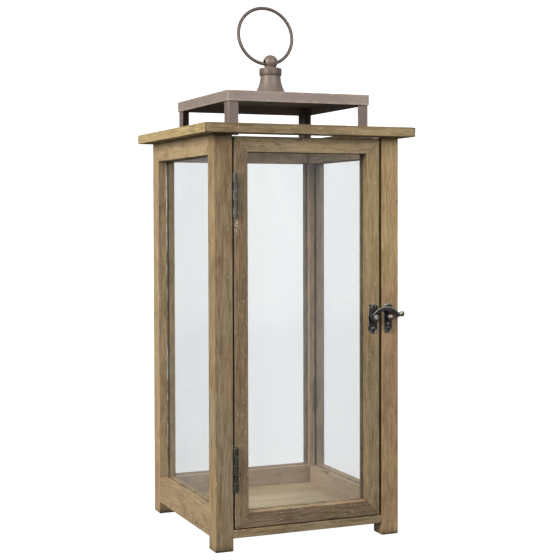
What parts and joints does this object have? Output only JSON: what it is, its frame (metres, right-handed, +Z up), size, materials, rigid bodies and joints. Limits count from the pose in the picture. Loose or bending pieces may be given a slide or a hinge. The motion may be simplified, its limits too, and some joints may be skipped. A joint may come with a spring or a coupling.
{
  "type": "hanging lantern",
  "caption": "Square wooden lantern with glass sides, a hinged and latched glass door, an open board roof, a raised metal cap and a ring to hang it by.",
  "frame": {"origin": "middle of the square under the four posts", "axes": "+X to the right, +Y to the back, +Z up; the door is on the -Y side, hung on the left post"},
  "size_m": [0.199, 0.199, 0.4824],
  "materials": {
    "weathered_wood": "weathered, matt, open grain",
    "floor_wood": "plain, matt",
    "glass": "clear, slightly cool",
    "taupe_metal": "satin taupe paint",
    "dark_steel": "dark, worn bright at the edges",
    "pewter": "antique pewter, polished high spots",
    "zinc_steel": "plain zinc"
  },
  "bodies": {
    "frame": {"bottom_rail_back": "weathered_wood", "bottom_rail_front": "weathered_wood", "bottom_rail_left": "weathered_wood", "bottom_rail_right": "weathered_wood", "cap_leg_back_left": "taupe_metal", "cap_leg_back_right": "taupe_metal", "cap_leg_front_left": "taupe_metal", "cap_leg_front_right": "taupe_metal", "cap_leg_screws": "zinc_steel", "cap_tray": "taupe_metal", "finial_bell": "taupe_metal", "finial_knob": "taupe_metal", "finial_nut": "zinc_steel", "finial_stud": "zinc_steel", "finial_washer": "zinc_steel", "floor_brads": "zinc_steel", "floor_panel": "floor_wood", "glass_back": "glass", "glass_left": "glass", "glass_right": "glass", "hinge_frame_screws": "dark_steel", "hinge_lower_frame_leaf": "dark_steel", "hinge_lower_pin": "dark_steel", "hinge_upper_frame_leaf": "dark_steel", "hinge_upper_pin": "dark_steel", "latch_keeper_plate": "pewter", "latch_keeper_screws": "pewter", "latch_keeper_stud": "pewter", "post_back_left": "weathered_wood", "post_back_right": "weathered_wood", "post_front_left": "weathered_wood", "post_front_right": "weathered_wood", "roof_board_back": "weathered_wood", "roof_board_front": "weathered_wood", "roof_board_left": "weathered_wood", "roof_board_right": "weathered_wood", "roof_brads": "zinc_steel", "top_rail_back": "weathered_wood", "top_rail_left": "weathered_wood", "top_rail_right": "weathered_wood"},
    "door": {"door_stile_left": "weathered_wood", "door_stile_right": "weathered_wood", "door_rail_top": "weathered_wood", "door_rail_bottom": "weathered_wood", "door_glass": "glass", "door_corner_brads": "zinc_steel", "hinge_upper_door_leaf": "dark_steel", "hinge_lower_door_leaf": "dark_steel", "hinge_door_screws": "dark_steel", "latch_door_plate": "pewter", "latch_door_screws": "pewter", "latch_rivet": "pewter"},
    "latch": {"latch_arm": "pewter"},
    "ring": {"ring_handle": "taupe_metal"}
  },
  "joints": [
    {"name": "door_hinge", "type": "hinge", "parent": "frame", "child": "door", "pos_m": [-0.069, -0.0896, 0.1785], "axis": [0, 0, -1], "range_deg": [0, 170]},
    {"name": "latch_pivot", "type": "hinge", "parent": "door", "child": "latch", "pos_m": [0.0621, -0.0916, 0.1968], "axis": [0, -1, 0], "range_deg": [0, 115]},
    {"name": "ring_pivot", "type": "hinge", "parent": "frame", "child": "ring", "pos_m": [0, 0, 0.42905], "axis": [1, 0, 0], "range_deg": [-108, 125]}
  ]
}
